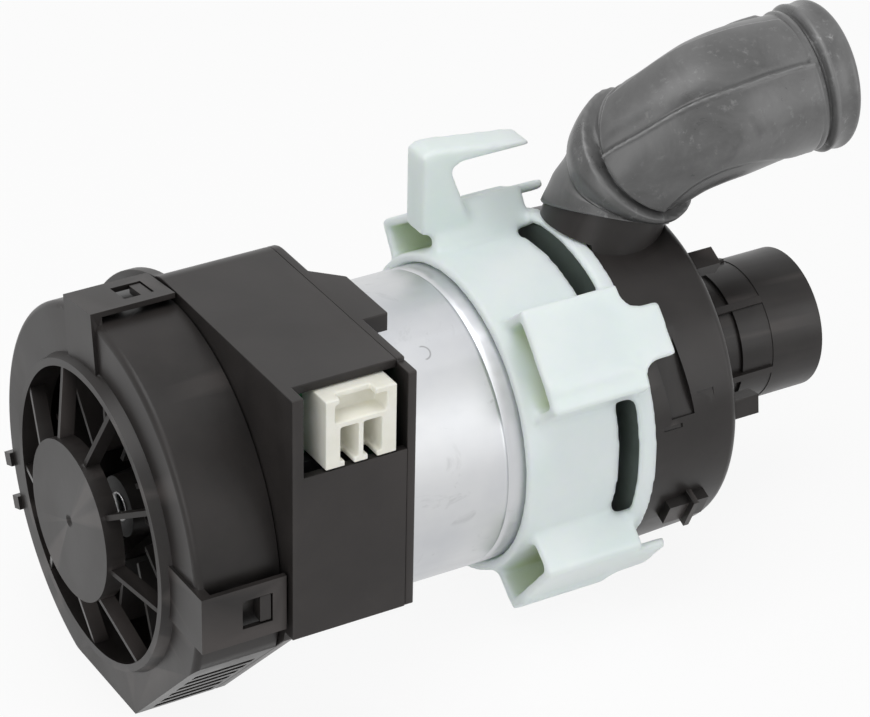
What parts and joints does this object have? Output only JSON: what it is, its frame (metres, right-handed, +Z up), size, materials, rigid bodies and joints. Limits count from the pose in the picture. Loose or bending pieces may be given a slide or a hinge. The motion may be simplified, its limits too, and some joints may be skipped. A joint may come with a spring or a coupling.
{
  "type": "dishwasher circulation pump",
  "caption": "Dishwasher circulation pump with motor, rear cooling fan, electronics box, moulded bracket, pump casing with inlet spigot, and rubber outlet elbow.",
  "frame": {"origin": "centre of the inlet spigot's mouth", "axes": "+X along the shaft, from the fan out of the inlet spigot; +Z up, the side of the outlet elbow and of the electronics box; the box's connector faces -Y"},
  "size_m": [0.2245, 0.117, 0.1432],
  "materials": {
    "can_steel": "satin",
    "black_plastic": "satin",
    "bracket_plastic": "satin",
    "header_plastic": "satin",
    "rubber_grey": "matte",
    "seal_rubber": "matte",
    "bearing_steel": "polished",
    "shaft_steel": "ground",
    "lamination_steel": "satin",
    "copper_wire": "lacquered",
    "insulator_plastic": "matte",
    "magnet_ceramic": "matte",
    "board_laminate": "gloss",
    "component_black": "gloss",
    "capacitor_shell": "satin",
    "pin_metal": "tinned",
    "impeller_plastic": "satin",
    "seat_ceramic": "polished",
    "face_carbon": "satin",
    "zinc_steel": "satin"
  },
  "bodies": {
    "pump": {"motor_can": "can_steel", "rear_end_shield": "can_steel", "rear_bearing_outer_ring": "bearing_steel", "front_bearing_outer_ring": "bearing_steel", "stator_core": "lamination_steel", "slot_insulators": "insulator_plastic", "stator_windings": "copper_wire", "fan_cover": "black_plastic", "motor_housing": "black_plastic", "electronics_lid": "black_plastic", "control_board": "board_laminate", "power_header": "header_plastic", "header_pins": "pin_metal", "board_capacitors": "capacitor_shell", "board_choke": "component_black", "power_module": "component_black", "mounting_bracket": "bracket_plastic", "bracket_screws": "zinc_steel", "pump_casing": "black_plastic", "pump_back_plate": "black_plastic", "casing_o_ring": "seal_rubber", "seal_seat_ring": "seat_ceramic", "outlet_elbow": "rubber_grey"},
    "rotor": {"rotor_shaft": "shaft_steel", "rotor_core": "lamination_steel", "rotor_magnets": "magnet_ceramic", "fan_impeller": "black_plastic", "pump_impeller": "impeller_plastic", "impeller_nut": "zinc_steel", "rear_bearing_inner_ring": "bearing_steel", "front_bearing_inner_ring": "bearing_steel", "seal_face_ring": "face_carbon", "seal_bellows": "seal_rubber", "shaft_slinger": "seal_rubber"},
    "bearing_balls": {"rear_bearing_balls": "bearing_steel", "front_bearing_balls": "bearing_steel"}
  },
  "joints": [
    {"name": "rotor_spin", "type": "hinge", "parent": "pump", "child": "rotor", "pos_m": [-0.1424, 0, 0], "axis": [1, 0, 0], "continuous": true},
    {"name": "ball_orbit", "type": "hinge", "parent": "pump", "child": "bearing_balls", "pos_m": [-0.1424, 0, 0], "axis": [1, 0, 0], "continuous": true}
  ],
  "couplings": [
    {"joint": "ball_orbit", "follows": "rotor_spin", "ratio": 0.3733}
  ]
}
